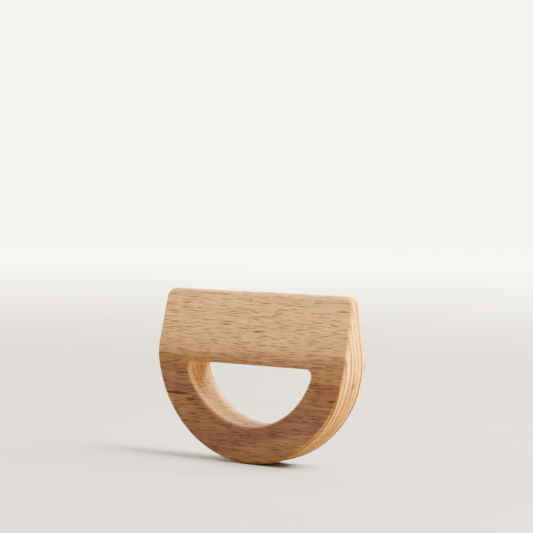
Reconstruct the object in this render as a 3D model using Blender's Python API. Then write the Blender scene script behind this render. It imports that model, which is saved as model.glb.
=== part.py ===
"""A half-moon baby rattle in solid beech, built as a Blender scene.

Two beech halves are glued face to face at the middle of the thickness. Before they are glued, three
round sound chambers are drilled into the joint faces of the bar, half of each chamber in each half,
and three loose wooden balls go into every chamber. The outline is a half circle below and a bar with
a straight top above. A half-moon opening under the bar leaves a curved handle for a small hand. The
handle is even in thickness. The bar's two faces lean towards each other, up to a thin rounded top edge.

Metres, +Z up. The origin is the lowest point of the round rim, in the middle of the thickness.
+X runs along the bar and the grain, and -Y is the front.
"""

import math

import bmesh
import bpy
from mathutils import Matrix, Vector

# Driving dimensions: the outline, seen from the front
RIM_RADIUS = 0.045          # the half circle that the rattle rocks on
BLOCK_HEIGHT = 0.0222       # from the circle's centre up to the straight top
TOP_HALF_WIDTH = 0.0443     # half the width that the flanks would reach at the top
SHOULDER_RADIUS = 0.020     # blends the half circle into each flank
TOP_CORNER_RADIUS = 0.004

# The half-moon opening for the hand
OPENING_RADIUS = 0.030         # centred on the rim's own centre
OPENING_TOP_DROP = 0.0063      # its flat top lies this far below the rim's centre
OPENING_CORNER_RADIUS = 0.0025

# Thickness and edges, with heights from the rim's centre
THICKNESS = 0.0150          # of the handle
TOP_THICKNESS = 0.0028      # of the bar at its straight top
TAPER_START = -0.006        # where each face starts to bend inwards
BEND_HEIGHT = 0.006         # the height over which it bends to its full lean
BEND_STEPS = 4
EDGE_RADIUS = 0.002         # the round-over on every outer edge
TOP_EDGE_SHARE = 0.55       # of its depth that the round-over keeps at the thin top edge

# Sound chambers, drilled into the two joint faces
CHAMBER_RADIUS = 0.007
CHAMBER_DEPTH = 0.0025      # in each half
CHAMBER_RISE = 0.0036       # from the rim's centre up to the chambers' axes
CHAMBER_SPACING = 0.022
CHAMBER_NAMES = ("left", "middle", "right")

# Loose balls: three side by side in each chamber
BALL_RADIUS = 0.002
BALL_WALL_GAP = 0.0003
BALL_SIDE_GAP = 0.0003
BALL_PLACES = (("a", 0), ("b", -1), ("c", 1))

# Fineness of the round work
ARC_STEP = math.radians(3.5)
EDGE_SEGMENTS = 3           # Blender makes this many rows, plus one, in a quarter round
CHAMBER_SIDES = 48
BALL_SEGMENTS = 16
BALL_RINGS = 10

RIM_CENTRE_Z = RIM_RADIUS
CHAMBER_Z = RIM_CENTRE_Z + CHAMBER_RISE
FLANK_LEAN = math.atan2(RIM_RADIUS - TOP_HALF_WIDTH, BLOCK_HEIGHT)
FACE_SLOPE = (THICKNESS - TOP_THICKNESS) / 2 / (BLOCK_HEIGHT - TAPER_START - BEND_HEIGHT / 2)
QUARTER_TURN = math.radians(90)
CUTTER_MARGIN = 0.004


def clear_scene():
    for obj in list(bpy.data.objects):
        bpy.data.objects.remove(obj)


def make_collection(name):
    collection = bpy.data.collections.new(name)
    bpy.context.scene.collection.children.link(collection)
    return collection


def make_wood(name, colour, roughness):
    """A plain Principled wood."""
    wood = bpy.data.materials.new(name)
    wood.use_nodes = True
    shader = wood.node_tree.nodes["Principled BSDF"]
    shader.inputs["Base Color"].default_value = (*colour, 1.0)
    shader.inputs["Roughness"].default_value = roughness
    shader.inputs["Metallic"].default_value = 0.0
    return wood


def arc(centre, radius, start, end):
    """Points (x, z) along an arc, both ends included, at about one ARC_STEP for each."""
    steps = max(3, round(abs(end - start) / ARC_STEP))
    angles = [start + (end - start) * i / steps for i in range(steps + 1)]
    return [(centre[0] + radius * math.cos(a), centre[1] + radius * math.sin(a)) for a in angles]


def mirrored_loop(right_side):
    """A closed loop from its right side, which starts on the middle line at the bottom."""
    left_side = [(-x, z) for x, z in reversed(right_side[1:])]
    return right_side + left_side


def rim_outline():
    """The rattle's outline about the rim's centre: half circle, shoulder blends, flanks, straight top."""
    # A flank lies on the line x cos(lean) + z sin(lean) = reach
    reach = RIM_RADIUS * math.cos(FLANK_LEAN)
    # The shoulder's arc touches the half circle from inside, and the flank
    from_centre = RIM_RADIUS - SHOULDER_RADIUS
    direction = FLANK_LEAN - math.acos((reach - SHOULDER_RADIUS) / from_centre)
    shoulder = (from_centre * math.cos(direction), from_centre * math.sin(direction))
    # The top corner's arc touches the flank and the straight top
    corner_z = BLOCK_HEIGHT - TOP_CORNER_RADIUS
    corner_x = (reach - TOP_CORNER_RADIUS - corner_z * math.sin(FLANK_LEAN)) / math.cos(FLANK_LEAN)
    right_side = arc((0, 0), RIM_RADIUS, -QUARTER_TURN, direction)
    right_side += arc(shoulder, SHOULDER_RADIUS, direction, FLANK_LEAN)[1:]
    right_side += arc((corner_x, corner_z), TOP_CORNER_RADIUS, FLANK_LEAN, QUARTER_TURN)
    return mirrored_loop(right_side)


def opening_outline():
    """The half-moon opening about the rim's centre: a round floor, a flat top and two rounded corners."""
    corner_z = -OPENING_TOP_DROP - OPENING_CORNER_RADIUS
    from_centre = OPENING_RADIUS - OPENING_CORNER_RADIUS
    corner_x = math.sqrt(from_centre**2 - corner_z**2)
    direction = math.atan2(corner_z, corner_x)
    right_side = arc((0, 0), OPENING_RADIUS, -QUARTER_TURN, direction)
    right_side += arc((corner_x, corner_z), OPENING_CORNER_RADIUS, direction, QUARTER_TURN)[1:]
    return mirrored_loop(right_side)


def add_loop(curve, points):
    spline = curve.splines.new("POLY")
    spline.points.add(len(points) - 1)
    for point, (x, z) in zip(spline.points, points):
        point.co = (x, z, 0, 1)
    spline.use_cyclic_u = True


def face_inset(height):
    """How far each face has come in from the full thickness, at a height above the rim's centre."""
    rise = max(height - TAPER_START, 0)
    if rise < BEND_HEIGHT:
        return FACE_SLOPE * rise**2 / (2 * BEND_HEIGHT)
    return FACE_SLOPE * (rise - BEND_HEIGHT / 2)


def tapered(point):
    """Where a point of the full-thickness block goes. The round-over gets shallower towards the thin top."""
    inset = face_inset(point.z)
    thinness = inset / face_inset(BLOCK_HEIGHT)
    below_face = (THICKNESS / 2 - abs(point.y)) * (1 - (1 - TOP_EDGE_SHARE) * thinness)
    return math.copysign(THICKNESS / 2 - inset - below_face, point.y)


def make_prism(cutters):
    """The outline at full thickness with its edges rounded over, about the rim's centre and standing up."""
    curve = bpy.data.curves.new("blank_outline", "CURVE")
    curve.dimensions = "2D"
    curve.fill_mode = "BOTH"
    curve.extrude = THICKNESS / 2 - EDGE_RADIUS
    curve.bevel_depth = EDGE_RADIUS
    curve.bevel_resolution = EDGE_SEGMENTS
    curve.offset = -EDGE_RADIUS
    add_loop(curve, rim_outline())
    add_loop(curve, list(reversed(opening_outline())))
    outline = bpy.data.objects.new("blank_outline", curve)
    outline.rotation_euler = (QUARTER_TURN, 0, 0)
    cutters.objects.link(outline)
    bpy.context.view_layer.update()

    graph = bpy.context.evaluated_depsgraph_get()
    mesh = bpy.data.meshes.new_from_object(outline.evaluated_get(graph))
    mesh.transform(outline.matrix_world)
    bpy.data.objects.remove(outline)
    return mesh


def make_blank(cutters):
    """The whole rattle as one closed mesh, with the bar's faces leaning in towards the top.

    Each half is later what this blank has on its own side of the glue joint.
    """
    mesh = make_prism(cutters)
    shape = bmesh.new()
    shape.from_mesh(mesh)
    bmesh.ops.remove_doubles(shape, verts=shape.verts, dist=1e-6)
    # The faces can only bend along edges, so level cuts come first
    for i in range(BEND_STEPS + 1):
        level = TAPER_START + BEND_HEIGHT * i / BEND_STEPS
        everything = shape.verts[:] + shape.edges[:] + shape.faces[:]
        bmesh.ops.bisect_plane(shape, geom=everything, plane_co=(0, 0, level), plane_no=(0, 0, 1))
    for vert in shape.verts:
        vert.co.y = tapered(vert.co)
    bmesh.ops.translate(shape, verts=shape.verts, vec=(0, 0, RIM_CENTRE_Z))
    bmesh.ops.recalc_face_normals(shape, faces=shape.faces)
    shape.to_mesh(mesh)
    shape.free()
    return mesh


def hide_as_cutter(obj):
    obj.hide_render = True
    obj.display_type = "WIRE"


def make_side_cutter(name, side, cutters):
    """A box that holds everything on one side of the glue joint."""
    size = Vector((2 * RIM_RADIUS, THICKNESS / 2, RIM_RADIUS + BLOCK_HEIGHT))
    size += Vector((2 * CUTTER_MARGIN, CUTTER_MARGIN, 2 * CUTTER_MARGIN))
    centre = Vector((0, side * size.y / 2, (RIM_RADIUS + BLOCK_HEIGHT) / 2))
    shape = bmesh.new()
    bmesh.ops.create_cube(shape, size=1, matrix=Matrix.Translation(centre) @ Matrix.Diagonal((*size, 1)))
    mesh = bpy.data.meshes.new(name)
    shape.to_mesh(mesh)
    shape.free()
    box = bpy.data.objects.new(name, mesh)
    cutters.objects.link(box)
    hide_as_cutter(box)
    return box


def make_chamber_cutter(name, x, cutters):
    """The drill's cylinder for one chamber, across both joint faces."""
    shape = bmesh.new()
    bmesh.ops.create_cone(
        shape,
        cap_ends=True,
        segments=CHAMBER_SIDES,
        radius1=CHAMBER_RADIUS,
        radius2=CHAMBER_RADIUS,
        depth=2 * CHAMBER_DEPTH,
        matrix=Matrix.Rotation(QUARTER_TURN, 4, "X"),
    )
    mesh = bpy.data.meshes.new(name)
    shape.to_mesh(mesh)
    shape.free()
    drill = bpy.data.objects.new(name, mesh)
    drill.location = (x, 0, CHAMBER_Z)
    cutters.objects.link(drill)
    hide_as_cutter(drill)
    return drill


def add_boolean(obj, name, operation, cutter):
    modifier = obj.modifiers.new(name, "BOOLEAN")
    modifier.operation = operation
    modifier.object = cutter


def make_half(name, blank, side_cutter, chamber_cutters, wood, parts):
    """One beech half: its side of the blank, with half of each chamber drilled into its joint face."""
    half = bpy.data.objects.new(name, blank.copy())
    half.data.materials.clear()
    half.data.materials.append(wood)
    half.data.shade_smooth()
    half.data.set_sharp_from_angle(angle=math.radians(35))
    add_boolean(half, "own_side", "INTERSECT", side_cutter)
    for cutter in chamber_cutters:
        add_boolean(half, cutter.name, "DIFFERENCE", cutter)
    parts.objects.link(half)
    return half


def make_ball_mesh(wood):
    shape = bmesh.new()
    bmesh.ops.create_uvsphere(shape, u_segments=BALL_SEGMENTS, v_segments=BALL_RINGS, radius=BALL_RADIUS)
    mesh = bpy.data.meshes.new("rattle_ball")
    shape.to_mesh(mesh)
    shape.free()
    mesh.materials.append(wood)
    mesh.shade_smooth()
    return mesh


def make_balls(chamber, x, mesh, parts):
    """Three balls on the chamber's round floor. Each hangs from an empty on the chamber's axis, which it rolls round."""
    roll_radius = CHAMBER_RADIUS - BALL_RADIUS - BALL_WALL_GAP
    spread = 2 * math.asin((BALL_RADIUS + BALL_SIDE_GAP / 2) / roll_radius)
    for place, steps in BALL_PLACES:
        name = f"ball_{chamber}_{place}"
        axis = bpy.data.objects.new(f"{name}_axis", None)
        axis.location = (x, 0, CHAMBER_Z)
        axis.empty_display_size = CHAMBER_RADIUS
        parts.objects.link(axis)
        ball = bpy.data.objects.new(name, mesh)
        ball.parent = axis
        ball.location = (roll_radius * math.sin(steps * spread), 0, -roll_radius * math.cos(steps * spread))
        parts.objects.link(ball)


def main():
    clear_scene()
    parts = make_collection("half_moon_rattle")
    cutters = make_collection("cutters")
    beech = make_wood("oiled_beech", (0.56, 0.34, 0.18), 0.55)
    maple = make_wood("maple_ball", (0.72, 0.55, 0.36), 0.45)

    blank = make_blank(cutters)
    chamber_x = [(i - 1) * CHAMBER_SPACING for i in range(len(CHAMBER_NAMES))]
    drills = [
        make_chamber_cutter(f"drill_{name}", x, cutters) for name, x in zip(CHAMBER_NAMES, chamber_x)
    ]
    for name, side in (("front_half", -1), ("back_half", 1)):
        side_cutter = make_side_cutter(f"{name}_side", side, cutters)
        make_half(name, blank, side_cutter, drills, beech, parts)
    bpy.data.meshes.remove(blank)

    ball_mesh = make_ball_mesh(maple)
    for name, x in zip(CHAMBER_NAMES, chamber_x):
        make_balls(name, x, ball_mesh, parts)


main()
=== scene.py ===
# %% [markdown]
# # A half-moon wooden rattle
# The rattle is two beech halves glued face to face, with loose wooden balls shut in between them. This
# script carves both halves again with finer edges, drills their chambers, turns the balls, and gives
# everything a wood that is solid all the way through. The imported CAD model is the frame: it says where
# each piece is and what it moves with.

import math

import bmesh
import bpy
from mathutils import Matrix, Vector, noise


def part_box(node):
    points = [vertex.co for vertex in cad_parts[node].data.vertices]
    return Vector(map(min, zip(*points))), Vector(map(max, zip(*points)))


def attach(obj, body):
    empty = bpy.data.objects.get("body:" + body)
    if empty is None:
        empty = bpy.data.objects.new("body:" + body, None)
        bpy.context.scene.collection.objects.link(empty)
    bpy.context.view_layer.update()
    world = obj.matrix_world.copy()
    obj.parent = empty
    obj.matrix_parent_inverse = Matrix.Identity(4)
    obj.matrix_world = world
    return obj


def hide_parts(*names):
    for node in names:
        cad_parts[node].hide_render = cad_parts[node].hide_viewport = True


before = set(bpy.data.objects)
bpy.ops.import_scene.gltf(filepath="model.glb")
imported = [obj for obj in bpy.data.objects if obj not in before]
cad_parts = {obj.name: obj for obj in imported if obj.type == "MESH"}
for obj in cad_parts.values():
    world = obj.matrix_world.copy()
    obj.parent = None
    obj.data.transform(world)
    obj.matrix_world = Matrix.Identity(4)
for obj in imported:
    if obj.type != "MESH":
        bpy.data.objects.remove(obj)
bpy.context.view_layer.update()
print("nodes:", sorted(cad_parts))

# %% [markdown]
# ## Measures
# A woodworker would lay this part out with a pair of compasses and a rule, so the numbers are circle
# radii, heights and gaps. The outer ones are a hundredth of a millimetre inside the CAD model's, because
# finer arcs reach a little further out than coarse ones. The edges are rounded a little less than in the
# CAD model. Heights are from the centre of the rim's half circle.

# %% The measures, in metres
RIM_RADIUS = 0.04499
RIM_CENTRE_Z = 0.045
TOP_RISE = 0.02219          # the straight top edge, above the rim's centre
TOP_HALF_WIDTH = 0.04429
SHOULDER_RADIUS = 0.020     # blends the half circle into each flank
TOP_CORNER_RADIUS = 0.004

OPENING_RADIUS = 0.03001    # centred on the rim's own centre
OPENING_TOP = -0.00629
OPENING_CORNER_RADIUS = 0.0025

HALF_THICKNESS = 0.00749
HALF_TOP_THICKNESS = 0.00139
TAPER_START = -0.006        # where each face starts to bend inwards
BEND_HEIGHT = 0.006
FACE_SLOPE = (HALF_THICKNESS - HALF_TOP_THICKNESS) / (TOP_RISE - TAPER_START - BEND_HEIGHT / 2)
EDGE_RADIUS = 0.0013
TOP_EDGE_SHARE = 0.60       # of its depth that the round-over keeps at the thin top edge

CHAMBER_RADIUS = 0.007
CHAMBER_DEPTH = 0.0025      # in each half
CHAMBER_RISE = 0.0036
CHAMBER_SPACING = 0.022
print("each face of the bar leans", round(math.degrees(math.atan(FACE_SLOPE)), 1), "degrees")

# %% [markdown]
# ## Compasses and rule
# The outline is drawn on the front plane as a chain of vertices. `swing` turns the last vertex about a
# centre and leaves an arc behind it, and `rule` draws a straight line from it. Arcs drawn like this meet
# their neighbours exactly where the circles touch, so the rim has no flats or kinks.

# %% Drawing tools
FRONT = -HALF_THICKNESS
RIM_STEPS = 56              # straight pieces in each arc
SHOULDER_STEPS = 3
OPENING_STEPS = 44
CORNER_STEPS = 14


def start(shape, x, z):
    return bmesh.ops.create_vert(shape, co=(x, FRONT, z + RIM_CENTRE_Z))["vert"][0]


def swing(shape, tip, centre, degrees, steps):
    """Swings an arc on from tip, anticlockwise as seen from the front, and gives the vertex at its end."""
    middle = (centre[0], FRONT, centre[1] + RIM_CENTRE_Z)
    turn = math.radians(degrees)
    arc = bmesh.ops.spin(shape, geom=[tip], cent=middle, axis=(0, -1, 0), angle=turn, steps=steps)
    return next(part for part in arc["geom_last"] if isinstance(part, bmesh.types.BMVert))


def rule(shape, tip, x, z):
    end = bmesh.ops.extrude_vert_indiv(shape, verts=[tip])["verts"][0]
    end.co = (x, FRONT, z + RIM_CENTRE_Z)
    return end


# %% [markdown]
# ## The outline
# Only the right-hand side is drawn, from the lowest point of the rim up to the middle of the top edge,
# and then round the opening back to where it started. The left-hand side is its mirror image. The
# shoulder's small turn is what lets the half circle run into the leaning flank without a corner.

# %% Draw the right-hand side
def draw_outer(shape, tip):
    lean = math.atan2(RIM_RADIUS - TOP_HALF_WIDTH, TOP_RISE)
    reach = RIM_RADIUS * math.cos(lean)
    offset = RIM_RADIUS - SHOULDER_RADIUS
    turn = lean - math.acos((reach - SHOULDER_RADIUS) / offset)
    tip = swing(shape, tip, (0, 0), 90 + math.degrees(turn), RIM_STEPS)
    shoulder = (offset * math.cos(turn), offset * math.sin(turn))
    tip = swing(shape, tip, shoulder, math.degrees(lean - turn), SHOULDER_STEPS)
    corner_z = TOP_RISE - TOP_CORNER_RADIUS
    corner_x = (reach - TOP_CORNER_RADIUS - corner_z * math.sin(lean)) / math.cos(lean)
    flank_end = (corner_x + TOP_CORNER_RADIUS * math.cos(lean), corner_z + TOP_CORNER_RADIUS * math.sin(lean))
    tip = rule(shape, tip, *flank_end)
    tip = swing(shape, tip, (corner_x, corner_z), 90 - math.degrees(lean), CORNER_STEPS)
    return rule(shape, tip, 0, TOP_RISE)


def draw_opening(shape, tip):
    corner_z = OPENING_TOP - OPENING_CORNER_RADIUS
    offset = OPENING_RADIUS - OPENING_CORNER_RADIUS
    corner_x = math.sqrt(offset**2 - corner_z**2)
    turn = math.degrees(math.atan2(corner_z, corner_x))
    tip = rule(shape, tip, 0, OPENING_TOP)
    tip = rule(shape, tip, corner_x, OPENING_TOP)
    tip = swing(shape, tip, (corner_x, corner_z), turn - 90, CORNER_STEPS)
    return swing(shape, tip, (0, 0), -90 - turn, OPENING_STEPS)


def draw_right_side(shape):
    first = start(shape, 0, -RIM_RADIUS)
    last = draw_opening(shape, draw_outer(shape, first))
    shape.edges.new((last, first))
    return bmesh.ops.contextual_create(shape, geom=shape.edges[:])["faces"][0]


trial = bmesh.new()
side_face = draw_right_side(trial)
print("right-hand side:", len(trial.verts), "points,", round(side_face.calc_area() * 1e6), "mm2")
trial.free()

# %% [markdown]
# ## From outline to half
# The outline is pulled back to the glue joint as a wall, and its front edges are rounded over with a
# 1.3 mm radius, as a router does after glue-up. A narrow inset keeps the flat face's shading flat right up
# to the round-over. Level cuts then let the bar's face bend, and every point of the front shell moves
# back by what the taper takes away at its height. The round-over gets shallower as the bar gets thinner.

# %% Round over and taper
SHADING_INSET = 0.0003      # from the round-over to the flat of the face
BEND_CUTS = 12


def face_inset(height):
    """How far a face has come in from the full thickness, at a height above the rim's centre."""
    rise = max(height - TAPER_START, 0)
    if rise < BEND_HEIGHT:
        return FACE_SLOPE * rise**2 / (2 * BEND_HEIGHT)
    return FACE_SLOPE * (rise - BEND_HEIGHT / 2)


def off_middle(edge):
    return max(abs(vert.co.x) for vert in edge.verts) > 1e-6


def round_over(shape):
    edges = [edge for edge in shape.edges if off_middle(edge)]
    wall = bmesh.ops.extrude_edge_only(shape, edges=edges)["geom"]
    back_verts = [part for part in wall if isinstance(part, bmesh.types.BMVert)]
    bmesh.ops.translate(shape, verts=back_verts, vec=(0, HALF_THICKNESS, 0))
    bmesh.ops.bevel(
        shape, geom=edges, offset=EDGE_RADIUS, segments=8, profile=0.5, affect="EDGES",
        clamp_overlap=False, material=-1,
    )
    face = max(shape.faces, key=lambda f: f.calc_area())
    bmesh.ops.inset_region(
        shape, faces=[face], thickness=SHADING_INSET, use_boundary=False, use_even_offset=True
    )


def taper(shape):
    for i in range(BEND_CUTS + 1):
        level = RIM_CENTRE_Z + TAPER_START + BEND_HEIGHT * i / BEND_CUTS
        everything = shape.verts[:] + shape.edges[:] + shape.faces[:]
        bmesh.ops.bisect_plane(shape, geom=everything, plane_co=(0, 0, level), plane_no=(0, 0, 1))
    for vert in shape.verts:
        if vert.co.y < -1e-6:
            inset = face_inset(vert.co.z - RIM_CENTRE_Z)
            share = 1 - (1 - TOP_EDGE_SHARE) * inset / face_inset(TOP_RISE)
            vert.co.y = FRONT + inset + (vert.co.y - FRONT) * share


# %% [markdown]
# ## Chambers
# A Forstner bit drills each chamber into the joint face before glue-up. Its rim scribes a ring slightly
# deeper than the floor and its spur leaves a small pit in the centre, so both are here too. The joint
# face is filled between the outline and the three circles, and each circle is then sunk to depth.

# %% Drill the joint face
SCRIBE_DEPTH = 0.0002
SCRIBE_WIDTH = 0.0003
SPUR_RADIUS = 0.0014
SPUR_DEPTH = 0.0009


def circle_at(shape, x):
    turn = Matrix.Rotation(math.radians(90), 4, "X")
    place = Matrix.Translation((x, 0, RIM_CENTRE_Z + CHAMBER_RISE))
    made = bmesh.ops.create_circle(
        shape, cap_ends=False, segments=72, radius=CHAMBER_RADIUS, matrix=place @ turn
    )
    return list({edge for vert in made["verts"] for edge in vert.link_edges})


def sink(shape, face, thickness, depth):
    """Insets a face and moves what is left of it into the wood."""
    bmesh.ops.inset_region(shape, faces=[face], thickness=thickness, use_even_offset=True)
    bmesh.ops.translate(shape, verts=face.verts[:], vec=(0, -depth, 0))


def drill(shape, rim):
    wall = bmesh.ops.extrude_edge_only(shape, edges=rim)["geom"]
    floor_verts = [part for part in wall if isinstance(part, bmesh.types.BMVert)]
    bmesh.ops.translate(shape, verts=floor_verts, vec=(0, -CHAMBER_DEPTH - SCRIBE_DEPTH, 0))
    floor_edges = [part for part in wall if isinstance(part, bmesh.types.BMEdge)]
    floor = bmesh.ops.contextual_create(shape, geom=floor_edges)["faces"][0]
    sink(shape, floor, SCRIBE_WIDTH, -SCRIBE_DEPTH)
    sink(shape, floor, CHAMBER_RADIUS - SCRIBE_WIDTH - SPUR_RADIUS, 0)
    spur = bmesh.ops.poke(shape, faces=[floor])["verts"][0]
    spur.co.y -= SPUR_DEPTH


def close_joint_face(shape):
    rims = [circle_at(shape, i * CHAMBER_SPACING) for i in (-1, 0, 1)]
    open_edges = [edge for edge in shape.edges if edge.is_boundary]
    bmesh.ops.triangle_fill(
        shape, edges=open_edges + [edge for rim in rims for edge in rim], use_beauty=True, normal=(0, 1, 0)
    )
    for rim in rims:
        drill(shape, rim)


# %% [markdown]
# ## Both halves
# The back half is the front half's mirror image about the joint, like two boards cut with one template.
# Each vertex also keeps two numbers for the wood's colour: how far its surface faces along the grain,
# where the cut ends of the fibres show and painted light brightens them, and how deep it is in a
# round-over, where painted shade darkens the wood.

# %% Make the halves
FLAT_FROM = 0.96            # a surface that faces front or back this squarely isn't in a round-over
SHARP_ANGLE = math.radians(40)


def store_surface(mesh):
    end_grain = mesh.attributes.new("end_grain", "FLOAT", "POINT")
    rounding = mesh.attributes.new("rounding", "FLOAT", "POINT")
    for vert in mesh.vertices:
        across = min(abs(vert.normal.y), 1.0)
        end_grain.data[vert.index].value = abs(vert.normal.x)
        rounding.data[vert.index].value = 4 * across * (1 - across) if across < FLAT_FROM else 0.0


def finish_piece(name, shape, body):
    """Turns a bmesh into an object with outward normals and sharp corners, riding on its CAD body."""
    bmesh.ops.recalc_face_normals(shape, faces=shape.faces[:])
    mesh = bpy.data.meshes.new(name)
    shape.to_mesh(mesh)
    shape.free()
    mesh.shade_smooth()
    mesh.set_sharp_from_angle(angle=SHARP_ANGLE)
    piece = bpy.data.objects.new(name, mesh)
    bpy.context.scene.collection.objects.link(piece)
    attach(piece, body)
    return piece


def make_half(name, node, side):
    shape = bmesh.new()
    draw_right_side(shape)
    round_over(shape)
    taper(shape)
    everything = shape.verts[:] + shape.edges[:] + shape.faces[:]
    bmesh.ops.mirror(shape, geom=everything, matrix=Matrix.Identity(4), merge_dist=1e-6, axis="X")
    close_joint_face(shape)
    if side > 0:
        bmesh.ops.scale(shape, verts=shape.verts[:], vec=(1, -1, 1))
    half = finish_piece(name, shape, "rattle_body")
    store_surface(half.data)
    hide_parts(node)
    return half


front_half = make_half("beech_front", "front_half", -1)
back_half = make_half("beech_back", "back_half", 1)
for half in (front_half, back_half):
    check = bmesh.new()
    check.from_mesh(half.data)
    open_edges = sum(not edge.is_manifold for edge in check.edges)
    volume = round(check.calc_volume() * 1e6, 2)
    print(half.name, len(check.faces), "faces,", open_edges, "open edges,", volume, "cm3")
    check.free()

# %% [markdown]
# ## The balls
# Small wooden balls are turned between centres and tumbled smooth. Turning leaves a tiny flat at each
# pole, and no two are quite round. The profile is half a circle swung by compasses, spun once about the
# ball's own axis, and every ball lies with its grain a different way. The balls' places come from the
# frame, so each one sits exactly where its CAD ball is.

# %% Turn the balls
BALL_RADIUS = 0.00198
POLE_ANGLE = 10             # degrees of the profile that each pole's flat takes
UNEVENNESS = 0.006          # the most that tumbling takes off, as a share of the radius
BUMP_SCALE = 700


def turn_ball(shape):
    """A ball about the origin, with its turning axis along X."""
    angle = math.radians(180 - POLE_ANGLE)
    at = (BALL_RADIUS * math.cos(angle), 0, BALL_RADIUS * math.sin(angle))
    tip = bmesh.ops.create_vert(shape, co=at)["vert"][0]
    half_turn = math.radians(180 - 2 * POLE_ANGLE)
    bmesh.ops.spin(shape, geom=[tip], cent=(0, 0, 0), axis=(0, 1, 0), angle=half_turn, steps=22)
    profile = shape.verts[:] + shape.edges[:]
    bmesh.ops.spin(
        shape, geom=profile, cent=(0, 0, 0), axis=(1, 0, 0), angle=math.radians(360), steps=36, use_merge=True
    )
    bmesh.ops.holes_fill(shape, edges=shape.edges[:], sides=0)


def make_ball(node, number):
    shape = bmesh.new()
    turn_ball(shape)
    own_place = [vert.co.copy() for vert in shape.verts]
    for vert in shape.verts:
        bump = noise.noise(vert.co * BUMP_SCALE + Vector((number * 9.7, 0, 0)))
        vert.co *= 1 - UNEVENNESS * (0.5 + 0.5 * bump)
    low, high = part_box(node)
    lie = Matrix.Rotation(2.4 * number, 4, "Z") @ Matrix.Rotation(1.3 * number, 4, "Y")
    bmesh.ops.transform(shape, matrix=Matrix.Translation((low + high) / 2) @ lie, verts=shape.verts[:])
    ball = finish_piece(f"turned_{node}", shape, node)
    place = ball.data.attributes.new("own_place", "FLOAT_VECTOR", "POINT")
    for vert in ball.data.vertices:
        place.data[vert.index].vector = own_place[vert.index] + Vector((0.02 * number, 0, 0))
    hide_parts(node)
    return ball


ball_nodes = [name for name in sorted(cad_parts) if name.startswith("ball_")]
balls = [make_ball(node, i + 1) for i, node in enumerate(ball_nodes)]
print(len(balls), "balls of", len(balls[0].data.polygons), "faces")

# %% [markdown]
# ## Node helpers
# The wood is a solid texture: colour is worked out from where a point lies in the board, so a cut through
# the board shows the same rings and rays on every side. The helpers below keep the node graphs readable.
# Each adds one node, feeds its inputs with sockets or plain numbers, and gives its result.

# %% Node helpers
def feed(tree, socket, value):
    if isinstance(value, bpy.types.NodeSocket):
        tree.links.new(value, socket)
    else:
        socket.default_value = value


def maths(tree, operation, *values):
    node = tree.nodes.new("ShaderNodeMath")
    node.operation = operation
    for socket, value in zip(node.inputs, values):
        feed(tree, socket, value)
    return node.outputs[0]


def vectors(tree, operation, *values):
    node = tree.nodes.new("ShaderNodeVectorMath")
    node.operation = operation
    for socket, value in zip(node.inputs, values):
        feed(tree, socket, value)
    return node.outputs["Value" if operation in ("LENGTH", "DOT_PRODUCT", "DISTANCE") else "Vector"]


def join(tree, x, y, z):
    node = tree.nodes.new("ShaderNodeCombineXYZ")
    for socket, value in zip(node.inputs, (x, y, z)):
        feed(tree, socket, value)
    return node.outputs[0]


def split(tree, vector):
    node = tree.nodes.new("ShaderNodeSeparateXYZ")
    tree.links.new(vector, node.inputs[0])
    return node.outputs


def cloud(tree, vector, scale, detail=2.0, roughness=0.5):
    """Smooth noise from 0 to 1, stretched by scaling the vector first."""
    node = tree.nodes.new("ShaderNodeTexNoise")
    feed(tree, node.inputs["Vector"], vectors(tree, "MULTIPLY", vector, scale))
    node.inputs["Scale"].default_value = 1.0
    node.inputs["Detail"].default_value = detail
    node.inputs["Roughness"].default_value = roughness
    return node.outputs[0]


def between(tree, value, low, high, smooth=True):
    """0 at low and 1 at high."""
    node = tree.nodes.new("ShaderNodeMapRange")
    node.interpolation_type = "SMOOTHSTEP" if smooth else "LINEAR"
    feed(tree, node.inputs["Value"], value)
    feed(tree, node.inputs["From Min"], low)
    feed(tree, node.inputs["From Max"], high)
    return node.outputs["Result"]


def blend(tree, factor, first, second, kind="MIX"):
    """Mixes two colours."""
    node = tree.nodes.new("ShaderNodeMix")
    node.data_type = "RGBA"
    node.blend_type = kind
    colour_sockets = [socket for socket in node.inputs if socket.type == "RGBA"]
    feed(tree, node.inputs["Factor"], factor)
    feed(tree, colour_sockets[0], first)
    feed(tree, colour_sockets[1], second)
    return next(socket for socket in node.outputs if socket.type == "RGBA")


def new_group(name, inputs, outputs):
    """A shader node group: inputs are (name, kind, value) and outputs are (name, kind)."""
    tree = bpy.data.node_groups.new(name, "ShaderNodeTree")
    for title, kind, value in inputs:
        socket = tree.interface.new_socket(title, in_out="INPUT", socket_type=f"NodeSocket{kind}")
        socket.default_value = value
    for title, kind in outputs:
        tree.interface.new_socket(title, in_out="OUTPUT", socket_type=f"NodeSocket{kind}")
    return tree, tree.nodes.new("NodeGroupInput").outputs, tree.nodes.new("NodeGroupOutput").inputs


def use(tree, group, **values):
    """Adds a group to a tree. Keywords are input names with underscores for spaces."""
    node = tree.nodes.new("ShaderNodeGroup")
    node.node_tree = group
    for title, value in values.items():
        feed(tree, node.inputs[title.replace("_", " ")], value)
    return node.outputs


# %% [markdown]
# ## Growth rings
# Through the thickness of this board the rings are nearly flat sheets, about 2.5 mm apart. Each
# begins pale and ends in a thin brown line of dense late wood. The group gets the depth through the
# rings in millimetres and returns how late in the year the wood at that depth grew, how early, and a
# random number that is the same all over one ring, because no two summers are alike.

# %% Group: growth rings
EARLY_ENDS = 0.38           # shares of a year's growth
LATE_STARTS = 0.50
LATE_FULL = 0.74
LATE_ENDS = 0.955
UNEVEN_YEARS = 2.6          # millimetres that slow noise moves the rings by

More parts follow.
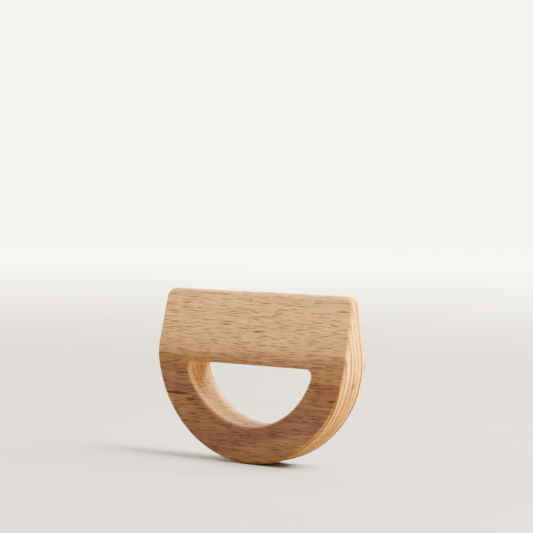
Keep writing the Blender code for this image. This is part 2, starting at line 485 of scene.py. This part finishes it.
rings, given, gives = new_group(
    "growth_rings",
    [("Depth", "Float", 0.0), ("Ring Width", "Float", 2.5), ("First Ring", "Float", 0.0)],
    [("Late", "Float"), ("Early", "Float"), ("Year", "Float")],
)
uneven = cloud(rings, join(rings, given["Depth"], 3.1, 0.4), (0.31, 1, 1), detail=0.0)
shifted = maths(rings, "MULTIPLY_ADD", uneven, UNEVEN_YEARS, given["Depth"])
count = maths(rings, "DIVIDE", maths(rings, "SUBTRACT", shifted, given["First Ring"]), given["Ring Width"])
season = maths(rings, "FRACT", count)
late = between(rings, season, LATE_STARTS, LATE_FULL)
turn_of_year = between(rings, season, LATE_ENDS, 1.0)
feed(rings, gives["Late"], maths(rings, "SUBTRACT", late, turn_of_year))
feed(rings, gives["Early"], maths(rings, "SUBTRACT", 1.0, between(rings, season, 0.0, EARLY_ENDS)))
number = rings.nodes.new("ShaderNodeTexWhiteNoise")
number.noise_dimensions = "1D"
feed(rings, number.inputs["W"], maths(rings, "FLOOR", count))
feed(rings, gives["Year"], number.outputs["Value"])
print(rings.name, "has", len(rings.nodes), "nodes")

# %% [markdown]
# ## Rays
# Beech has broad rays: thin sheets of cells that run outwards through the rings. A flat-sawn face cuts
# them end-on and shows short dark dashes along the grain, the end grain shows them as fine lines across
# the rings, and a quarter-sawn face shows shining flakes. One solid lens shape per Voronoi cell gives all
# three from the same numbers: long along the grain and outwards, and very thin across.

# %% Group: ray flecks
rays, given, gives = new_group(
    "ray_flecks",
    [
        ("Place", "Vector", (0, 0, 0)), ("Length", "Float", 3.0), ("Reach", "Float", 9.0),
        ("Spacing", "Float", 1.1), ("Thickness", "Float", 0.16),
    ],
    [("Ray", "Float"), ("Shade", "Float")],
)
cell_size = join(rays, given["Length"], given["Reach"], given["Spacing"])
scaled = vectors(rays, "DIVIDE", given["Place"], cell_size)
cells = rays.nodes.new("ShaderNodeTexVoronoi")
cells.inputs["Scale"].default_value = 1.0
cells.inputs["Randomness"].default_value = 0.75
feed(rays, cells.inputs["Vector"], scaled)
offset = vectors(rays, "MULTIPLY", vectors(rays, "SUBTRACT", scaled, cells.outputs["Position"]), cell_size)
luck = split(rays, cells.outputs["Color"])
half_length = maths(rays, "MULTIPLY", given["Length"], maths(rays, "MULTIPLY_ADD", luck[0], 0.34, 0.22))
half_reach = maths(rays, "MULTIPLY", given["Reach"], 0.5)
half_thick = maths(rays, "MULTIPLY", given["Thickness"], maths(rays, "MULTIPLY_ADD", luck[1], 0.6, 0.7))
half_size = join(rays, half_length, half_reach, half_thick)
lens = vectors(rays, "LENGTH", vectors(rays, "DIVIDE", offset, half_size))
feed(rays, gives["Ray"], between(rays, lens, 1.15, 0.55))
feed(rays, gives["Shade"], luck[2])
print(rays.name, "has", len(rays.nodes), "nodes")

# %% [markdown]
# ## Fibres and pores
# Between the rays the wood is a bundle of fibres with fine pores. Along the grain both draw out into
# hair lines, so the noise is stretched twenty to forty times along the board. Seen from the end, the
# same noise turns into dots. The group gives the fibres' light and dark, and the pores as a sparse mask.

# %% Group: fibres and pores
COARSE_FIBRES = (0.035, 0.9, 0.9)       # ups and downs per millimetre along, through and across the board
FINE_FIBRES = (0.12, 5.0, 5.0)
PORE_LINES = (0.35, 7.5, 7.5)

fibres, given, gives = new_group(
    "fibres_and_pores",
    [("Place", "Vector", (0, 0, 0)), ("Pore Amount", "Float", 0.35)],
    [("Fibre", "Float"), ("Pore", "Float")],
)
coarse = cloud(fibres, given["Place"], COARSE_FIBRES, detail=3.0, roughness=0.6)
fine = cloud(fibres, given["Place"], FINE_FIBRES, detail=2.0, roughness=0.6)
mixed = maths(fibres, "ADD", maths(fibres, "MULTIPLY", coarse, 0.55), maths(fibres, "MULTIPLY", fine, 0.45))
feed(fibres, gives["Fibre"], between(fibres, mixed, 0.3, 0.7, smooth=False))
dots = cloud(fibres, given["Place"], PORE_LINES, detail=0.0)
edge = maths(fibres, "SUBTRACT", 0.80, maths(fibres, "MULTIPLY", given["Pore Amount"], 0.3))
feed(fibres, gives["Pore"], between(fibres, dots, edge, maths(fibres, "ADD", edge, 0.08)))
print(fibres.name, "has", len(fibres.nodes), "nodes")

# %% [markdown]
# ## The board
# One group puts the board together from the object's own coordinates. It is built over the next few
# cells. Its inputs say which stretch of wood a half is cut from, how the rings lie in it, and the three
# colours that all the others are mixed with. Everything inside it is in millimetres from the rim's
# centre: along the grain, through the thickness, and across the grain.

# %% Group: beech board, its inputs
PALE_WOOD = (0.420, 0.230, 0.084, 1)
LATE_WOOD = (0.117, 0.056, 0.039, 1)
RAY_TINT = (0.070, 0.040, 0.024, 1)

board, given, gives = new_group(
    "beech_board",
    [
        ("Position", "Vector", (0, 0, 0)), ("Board Shift", "Vector", (0, 0, 0)),
        ("First Ring", "Float", -7.08), ("Ring Tilt", "Float", 0.012), ("Trough", "Float", 1.6),
        ("Lean", "Float", 3.5), ("End Grain", "Float", 0.0), ("Rounding", "Float", 0.0),
        ("Pale Wood", "Color", PALE_WOOD), ("Late Wood", "Color", LATE_WOOD), ("Ray Tint", "Color", RAY_TINT),
    ],
    [("Colour", "Color"), ("Roughness", "Float"), ("Height", "Float")],
)
from_centre = vectors(board, "SUBTRACT", given["Position"], (0, 0, RIM_CENTRE_Z))
place = vectors(board, "MULTIPLY", from_centre, (1000, 1000, 1000))
along, through, across = split(board, place)
shifted_place = vectors(board, "ADD", place, given["Board Shift"])
print(board.name, "takes", len(given) - 1, "inputs")

# %% [markdown]
# ### Depth through the rings
# The rings would be flat sheets in a perfect tree. Here they tilt slightly along the board, lean towards
# the front higher up, and bow round a shallow trough low down. So the flat handle cuts along one of them
# and shows it as a long dark tongue, while the leaning bar cuts across several. Two soft noises, one
# slow and one fine, keep every line a little unsteady.

# %% Depth through the rings
TROUGH_AT = -25.0           # across the grain, where the trough is deepest
SPREAD_ABOVE = 13.0         # how far the trough reaches on each side
SPREAD_BELOW = 22.0
SLOW_NOISE = (0.018, 0.05, 0.05)
FINE_NOISE = (0.05, 0.3, 0.3)

drift = maths(board, "SUBTRACT", cloud(board, shifted_place, SLOW_NOISE, detail=1.0), 0.5)
ripple = maths(board, "SUBTRACT", cloud(board, shifted_place, FINE_NOISE, detail=2.0), 0.5)
rise = maths(board, "SUBTRACT", across, TROUGH_AT)
below = maths(board, "LESS_THAN", rise, 0.0)
spread = maths(board, "MULTIPLY_ADD", below, SPREAD_BELOW - SPREAD_ABOVE, SPREAD_ABOVE)
slope = maths(board, "DIVIDE", rise, spread)
fall = maths(board, "EXPONENT", maths(board, "MULTIPLY", maths(board, "MULTIPLY", slope, slope), -1.0))
bow = maths(board, "SUBTRACT", 1.0, fall)
depth = maths(board, "MULTIPLY_ADD", bow, given["Trough"], through)
depth = maths(board, "MULTIPLY_ADD", between(board, across, -10.0, 20.0), given["Lean"], depth)
depth = maths(board, "MULTIPLY_ADD", along, given["Ring Tilt"], depth)
depth = maths(board, "MULTIPLY_ADD", drift, 1.2, depth)
depth = maths(board, "MULTIPLY_ADD", ripple, 0.35, depth)
year = use(board, rings, Depth=depth, First_Ring=given["First Ring"])
print("rings placed with", len(board.nodes), "nodes so far")

# %% [markdown]
# ### Rays and fibres in their places
# Grain is never straight, so the place that the rays and fibres are read from sways up and down along
# the board. Large rays and small ones are two uses of the same group: mixing two sizes hides the cells
# that each of them is made from.

# %% Rays and fibres in their places
sway = maths(board, "MULTIPLY", drift, 5.0)
jitter = maths(board, "MULTIPLY", ripple, 1.2)
wavy = join(board, 0.0, 0.0, maths(board, "ADD", sway, jitter))
grain_place = vectors(board, "ADD", shifted_place, wavy)
big_rays = use(board, rays, Place=grain_place, Length=9.0, Reach=8.0, Spacing=0.88, Thickness=0.185)
turned_place = vectors(board, "ADD", grain_place, (31.0, 17.0, 5.3))
small_rays = use(board, rays, Place=turned_place, Length=5.6, Reach=5.0, Spacing=0.55, Thickness=0.115)
strands = use(board, fibres, Place=grain_place)
print("rays and fibres placed with", len(board.nodes), "nodes so far")

# %% [markdown]
# ### Ground colour
# Face grain is tan, and turns red-brown towards the lower part of the board. That darkening is partly the
# wood's own redder heart and partly painted shade, because the lower ring's face catches less light.
# End grain is lighter, partly its own paler tone and partly painted light: warm and yellow round the rim,
# plainer inside the hand opening. Where the first ring only just reaches the surface, its late wood
# covers the face like a skin.

# %% Ground colour
# These tints make end grain lighter: partly its own paler tone, partly painted light.
RIM_END_TINT_AND_LIGHT = (1.50, 1.19, 0.32, 1)
OPENING_END_TINT_AND_LIGHT = (1.45, 1.27, 1.05, 1)
SKIN_SOFTNESS = 0.12
OPENING_WOOD_ENDS = 31.0    # distances from the rim's centre
RIM_WOOD_STARTS = 36.0

side_grain = maths(board, "SUBTRACT", 1.0, given["End Grain"])
from_middle = vectors(board, "LENGTH", join(board, along, 0.0, across))
outside = between(board, from_middle, OPENING_WOOD_ENDS, RIM_WOOD_STARTS)
# End grain painted lighter: partly its own tone, partly painted light.
end_tint_and_light = blend(board, outside, OPENING_END_TINT_AND_LIGHT, RIM_END_TINT_AND_LIGHT)
end_wood_and_light = blend(board, 1.0, given["Pale Wood"], end_tint_and_light, kind="MULTIPLY")
# Darker towards the lower board: partly the wood's own redder heart, partly painted shade.
heart_tone_and_shade = maths(board, "MULTIPLY", between(board, maths(board, "ADD", across, drift), 11.0, -11.0), 0.87)
side_wood_and_shade = blend(board, heart_tone_and_shade, given["Pale Wood"], given["Late Wood"])
colour = blend(board, given["End Grain"], side_wood_and_shade, end_wood_and_light)
skin_end = maths(board, "ADD", given["First Ring"], SKIN_SOFTNESS)
skin_start = maths(board, "SUBTRACT", given["First Ring"], SKIN_SOFTNESS)
skin = between(board, depth, skin_end, skin_start)
colour = blend(board, maths(board, "MULTIPLY", skin, side_grain), colour, given["Late Wood"])
print("ground colour mixed with", len(board.nodes), "nodes so far")

# %% [markdown]
# ### Rings over the ground
# Each ring draws its dark late line and, right after it, a bright band of early wood. Both are strong on
# the end grain, faint on the pale face, and a little clearer where the face is dark. The rings are
# weaker inside the opening. A slight tint of its own sets every year apart.

# %% Rings over the ground
LATE_LINE = (0.085, 0.028, 0.006, 1)
EARLY_WOOD = (0.85, 0.51, 0.07, 1)
YEAR_TINT = (0.33, 0.155, 0.052, 1)

faded = maths(board, "MULTIPLY_ADD", outside, 0.65, 0.35)
shown = maths(board, "MULTIPLY_ADD", heart_tone_and_shade, 0.32, maths(board, "MULTIPLY_ADD", given["End Grain"], 0.80, 0.06))
shown = maths(board, "MULTIPLY", shown, faded)
colour = blend(board, maths(board, "MULTIPLY", year["Late"], shown), colour, LATE_LINE)
shown = maths(board, "MULTIPLY_ADD", heart_tone_and_shade, 0.04, maths(board, "MULTIPLY_ADD", given["End Grain"], 0.60, 0.03))
bright = maths(board, "MULTIPLY", year["Early"], maths(board, "MULTIPLY", shown, faded))
colour = blend(board, bright, colour, EARLY_WOOD)
colour = blend(board, maths(board, "MULTIPLY", year["Year"], 0.08), colour, YEAR_TINT)
print("rings mixed with", len(board.nodes), "nodes so far")

# %% [markdown]
# ### Fibres, flecks and pores
# The fibres lighten and darken the wood in hair lines. The rays are laid over them as dark flecks, darker
# still where the lower board is darkened, partly with painted shade, and less visible on the end grain.
# Pores are the last and finest layer.

# %% Fibres, flecks and pores
# The rays' colour where the lower board is darkened, partly with painted shade.
RAY_IN_SHADED_DARK_WOOD = (0.020, 0.008, 0.004, 1)

grey = maths(board, "MULTIPLY_ADD", strands["Fibre"], 0.62, 0.71)
colour = blend(board, 1.0, colour, join(board, grey, grey, grey), kind="MULTIPLY")
big_weight = maths(board, "MULTIPLY_ADD", big_rays["Shade"], 0.25, 0.75)
small_weight = maths(board, "MULTIPLY_ADD", small_rays["Shade"], 0.45, 0.55)
big = maths(board, "MULTIPLY", big_rays["Ray"], big_weight)
small = maths(board, "MULTIPLY", small_rays["Ray"], small_weight)
fleck = maths(board, "MAXIMUM", big, small)
fleck = maths(board, "MULTIPLY", fleck, maths(board, "MULTIPLY_ADD", side_grain, 0.6, 0.4))
colour = blend(board, fleck, colour, blend(board, heart_tone_and_shade, given["Ray Tint"], RAY_IN_SHADED_DARK_WOOD))
pore = maths(board, "MULTIPLY", strands["Pore"], maths(board, "MULTIPLY_ADD", given["End Grain"], 0.4, 0.25))
colour = blend(board, pore, colour, given["Ray Tint"])
print("flecks and pores mixed with", len(board.nodes), "nodes so far")

# %% [markdown]
# ### Marks, glue and edges
# A few small dark marks stand for bark streaks on the face and tiny knots on the rim. Each is a soft
# lens with a centre and a reach. The glue leaves a thin brown line where the two halves meet. The
# round-overs are darkened with painted shade, which keeps the light's bright strip off their curve.

# %% Marks, glue and edges
MARKS = (
    ((-34.5, -7.5, -19.4), (7.0, 3.0, 0.6)), ((-27.5, -7.5, -21.5), (3.4, 3.0, 0.8)),
    ((31.0, -7.5, -18.1), (2.2, 2.0, 0.4)), ((38.4, -7.5, -17.8), (2.2, 2.0, 0.4)),
    ((43.0, 0.5, -12.0), (4.0, 1.4, 1.8)), ((44.0, 6.6, -5.0), (4.0, 1.2, 2.0)),
)
MARK_TINT = (0.05, 0.018, 0.009, 1)
GLUE_TINT = (0.12, 0.05, 0.018, 1)
# Painted shade for the round-overs.
EDGE_SHADE = (0.24, 0.11, 0.032, 1)

for centre, reach in MARKS:
    apart = vectors(board, "DIVIDE", vectors(board, "SUBTRACT", place, centre), reach)
    mark = between(board, maths(board, "ADD", vectors(board, "LENGTH", apart), ripple), 1.1, 0.5)
    colour = blend(board, maths(board, "MULTIPLY", mark, 0.9), colour, MARK_TINT)
glue = between(board, maths(board, "ABSOLUTE", through), 0.11, 0.03)
colour = blend(board, maths(board, "MULTIPLY", glue, 0.7), colour, GLUE_TINT)
# Painted shade: the round-overs are darkened so that the light shows no bright strip on them.
colour = blend(board, maths(board, "MULTIPLY", given["Rounding"], 0.35), colour, EDGE_SHADE)
feed(board, gives["Colour"], colour)
print("colour finished with", len(MARKS), "marks")

# %% [markdown]
# ### Sheen and relief
# Fibres take the oil unevenly, so the sheen varies with them. Pores are open and dull, and rays are
# dense, so they shine a little more and stand a little lower after sanding.

# %% Sheen and relief
satin = maths(board, "MULTIPLY_ADD", strands["Fibre"], 0.10, 0.58)
satin = maths(board, "MULTIPLY_ADD", pore, 0.25, satin)
feed(board, gives["Roughness"], maths(board, "MULTIPLY_ADD", fleck, -0.08, satin))
pits = maths(board, "MULTIPLY", strands["Pore"], -0.8)
hills = maths(board, "MULTIPLY_ADD", strands["Fibre"], 0.5, pits)
feed(board, gives["Height"], maths(board, "MULTIPLY_ADD", fleck, -0.4, hills))
print(board.name, "has", len(board.nodes), "nodes")

# %% [markdown]
# ## Materials
# The two halves come from one board, so they share its group, and the back half only reads another
# stretch of it. The finish is a thin hard oil: nearly all of the look is the wood itself, with a soft
# matt sheen and relief a few hundredths of a millimetre deep. The balls are maple, pale and plain.

# %% The halves' materials
OIL_SHINE = 0.02
FRONT_BOARD = ((0, 0, 0), -7.08)            # shift along the board in mm, and where its first ring is
BACK_BOARD = ((140, 3.0, 11.0), -6.2)


def new_material(name):
    material = bpy.data.materials.new(name)
    material.use_nodes = True
    tree = material.node_tree
    return material, tree, tree.nodes["Principled BSDF"].inputs


def stored(tree, name, output="Fac"):
    node = tree.nodes.new("ShaderNodeAttribute")
    node.attribute_name = name
    return node.outputs[output]


def relief(tree, height, distance, strength):
    bump = tree.nodes.new("ShaderNodeBump")
    bump.inputs["Distance"].default_value = distance
    bump.inputs["Strength"].default_value = strength
    feed(tree, bump.inputs["Height"], height)
    return bump.outputs["Normal"]


def make_beech(name, shift, first_ring):
    material, tree, surface = new_material(name)
    place = tree.nodes.new("ShaderNodeTexCoord").outputs["Object"]
    wood = use(
        tree, board, Position=place, Board_Shift=shift, First_Ring=first_ring,
        End_Grain=stored(tree, "end_grain"), Rounding=stored(tree, "rounding"),
    )
    feed(tree, surface["Base Color"], wood["Colour"])
    feed(tree, surface["Roughness"], wood["Roughness"])
    feed(tree, surface["Normal"], relief(tree, wood["Height"], 0.00004, 0.35))
    surface["Specular IOR Level"].default_value = OIL_SHINE
    return material


front_half.data.materials.append(make_beech("oiled_beech_front", *FRONT_BOARD))
back_half.data.materials.append(make_beech("oiled_beech_back", *BACK_BOARD))
print("beech materials:", [half.data.materials[0].name for half in (front_half, back_half)])

# %% [markdown]
# Maple has no broad rays and only faint rings. A ball is too small to show much of either, so its wood is
# fine fibre with a few soft bands, read from the place that each vertex had on the lathe.

# %% The balls' material
MAPLE = (0.74, 0.56, 0.36, 1)
MAPLE_LATE = (0.55, 0.35, 0.18, 1)


def make_maple():
    material, tree, surface = new_material("turned_maple")
    place = vectors(tree, "MULTIPLY", stored(tree, "own_place", "Vector"), (1000, 1000, 1000))
    strands = use(tree, fibres, Place=vectors(tree, "MULTIPLY", place, (2.0, 2.0, 2.0)), Pore_Amount=0.15)
    depth = maths(tree, "MULTIPLY_ADD", cloud(tree, place, (0.2, 0.6, 0.6)), 1.5, split(tree, place)[1])
    year = use(tree, rings, Depth=depth, Ring_Width=1.3)
    colour = blend(tree, maths(tree, "MULTIPLY", year["Late"], 0.35), MAPLE, MAPLE_LATE)
    grey = maths(tree, "MULTIPLY_ADD", strands["Fibre"], 0.2, 0.88)
    colour = blend(tree, 1.0, colour, join(tree, grey, grey, grey), kind="MULTIPLY")
    feed(tree, surface["Base Color"], colour)
    feed(tree, surface["Roughness"], maths(tree, "MULTIPLY_ADD", strands["Fibre"], 0.15, 0.38))
    feed(tree, surface["Normal"], relief(tree, strands["Fibre"], 0.00002, 0.3))
    return material


maple = make_maple()
for ball in balls:
    ball.data.materials.append(maple)
print(maple.name, "on", len(balls), "balls")

# %% [markdown]
# ## The stage
# The rattle stands on its round rim on a plain pale floor that curves up into its own backdrop all round,
# like a photographer's cove, so no edge or corner shows from any side. It is turned from a bent line.
# The paint is darker near the rattle, so that the floor doesn't throw too much light back onto it.

# %% Floor and backdrop
FLOOR_RADIUS = 2.6
BEND_RADIUS = 1.2
WALL_HEIGHT = 1.4
FLOOR_PAINT = ((0.205, 0.19, 0.17, 1), (0.22, 0.205, 0.185, 1))
WALL_PAINT = (0.84, 0.80, 0.73, 1)
PAINT_CHANGE = (0.35, 2.2)              # distances from the rattle


def make_cove():
    shape = bmesh.new()
    first = bmesh.ops.create_vert(shape, co=(0.02, 0, 0))["vert"][0]
    bend = bmesh.ops.extrude_vert_indiv(shape, verts=[first])["verts"][0]
    bend.co = (FLOOR_RADIUS, 0, 0)
    arc = bmesh.ops.spin(
        shape, geom=[bend], cent=(FLOOR_RADIUS, 0, BEND_RADIUS), axis=(0, -1, 0),
        angle=math.radians(85), steps=20,
    )
    last = next(part for part in arc["geom_last"] if isinstance(part, bmesh.types.BMVert))
    top = bmesh.ops.extrude_vert_indiv(shape, verts=[last])["verts"][0]
    top.co = last.co + Vector((0.1, 0, WALL_HEIGHT))
    profile = shape.verts[:] + shape.edges[:]
    bmesh.ops.spin(
        shape, geom=profile, cent=(0, 0, 0), axis=(0, 0, 1), angle=math.radians(360), steps=96, use_merge=True
    )
    hole = [edge for edge in shape.edges if edge.is_boundary and edge.verts[0].co.z < 0.1]
    bmesh.ops.holes_fill(shape, edges=hole, sides=0)
    bmesh.ops.recalc_face_normals(shape, faces=shape.faces[:])
    inner = max(shape.faces, key=lambda f: -f.calc_center_median().length)
    if inner.normal.z < 0:
        bmesh.ops.reverse_faces(shape, faces=shape.faces[:])
    mesh = bpy.data.meshes.new("cove")
    shape.to_mesh(mesh)
    shape.free()
    mesh.shade_smooth()
    cove = bpy.data.objects.new("cove", mesh)
    bpy.context.scene.collection.objects.link(cove)
    return cove


def make_backdrop_paint():
    material, tree, surface = new_material("backdrop_paint")
    place = tree.nodes.new("ShaderNodeTexCoord").outputs["Object"]
    blotch = cloud(tree, place, (9, 9, 9), detail=4.0)
    floor = blend(tree, between(tree, blotch, 0.3, 0.7), *FLOOR_PAINT)
    wall = between(tree, vectors(tree, "LENGTH", place), *PAINT_CHANGE)
    feed(tree, surface["Base Color"], blend(tree, wall, floor, WALL_PAINT))
    surface["Roughness"].default_value = 0.85
    return material


cove = make_cove()
cove.data.materials.append(make_backdrop_paint())
print("cove radius in metres:", round(max(v.co.x for v in cove.data.vertices), 2))

# %% [markdown]
# ## Light and camera
# A large soft light stands high on the right, so the end grain of the rim is bright and the front lies in
# soft shade. A weaker one further back reaches the wall of the hand opening, two washes brighten the
# backdrop, and the pale world fills the rest. The camera stands three quarters of a metre away with a
# long lens, and is rolled by about a degree.

# %% Light and camera
def soft_light(name, place, target, width, height, watts, colour):
    data = bpy.data.lights.new(name, "AREA")
    data.shape = "ELLIPSE"
    data.size = width
    data.size_y = height
    data.energy = watts
    data.color = colour
    light = bpy.data.objects.new(name, data)
    light.location = place
    light.rotation_mode = "QUATERNION"
    light.rotation_quaternion = (Vector(target) - Vector(place)).to_track_quat("-Z", "Y")
    bpy.context.scene.collection.objects.link(light)


soft_light("key", (1.02, 0.10, 1.42), (0, 0, 0.04), 0.8, 1.4, 320, (1.0, 0.95, 0.87))
soft_light("back_right", (1.35, 1.15, 1.45), (0, 0, 0.04), 0.8, 0.8, 145, (1.0, 0.97, 0.92))
soft_light("backdrop_wash_left", (-1.7, 0.9, 1.9), (-2.6, 1.6, 0.3), 1.0, 1.0, 225, (1.0, 0.955, 0.87))
soft_light("backdrop_wash_right", (-0.3, 1.9, 1.9), (-0.6, 3.0, 0.3), 1.0, 1.0, 225, (1.0, 0.955, 0.87))

world = bpy.data.worlds.new("studio")
world.use_nodes = True
sky = world.node_tree.nodes["Background"].inputs
sky["Color"].default_value = (1.0, 0.985, 0.965, 1)
sky["Strength"].default_value = 0.35
bpy.context.scene.world = world

camera_data = bpy.data.cameras.new("camera")
camera_data.sensor_width = 36
camera_data.lens = 130.67
camera_data.clip_start = 0.01
camera = bpy.data.objects.new("camera", camera_data)
camera.location = (0.43053, -0.62293, 0.10809)
look = Vector((-0.565639, 0.823640, -0.040846))
roll = Matrix.Rotation(math.radians(-0.914), 4, look)
aim = look.to_track_quat("-Z", "Y").to_matrix().to_4x4()
camera.matrix_world = Matrix.Translation(camera.location) @ roll @ aim
bpy.context.scene.collection.objects.link(camera)
bpy.context.scene.camera = camera
print("up", [round(v, 4) for v in camera.matrix_world.col[1][:3]])
print("lens", camera_data.lens, "mm, distance", round(camera.location.length, 3), "m")
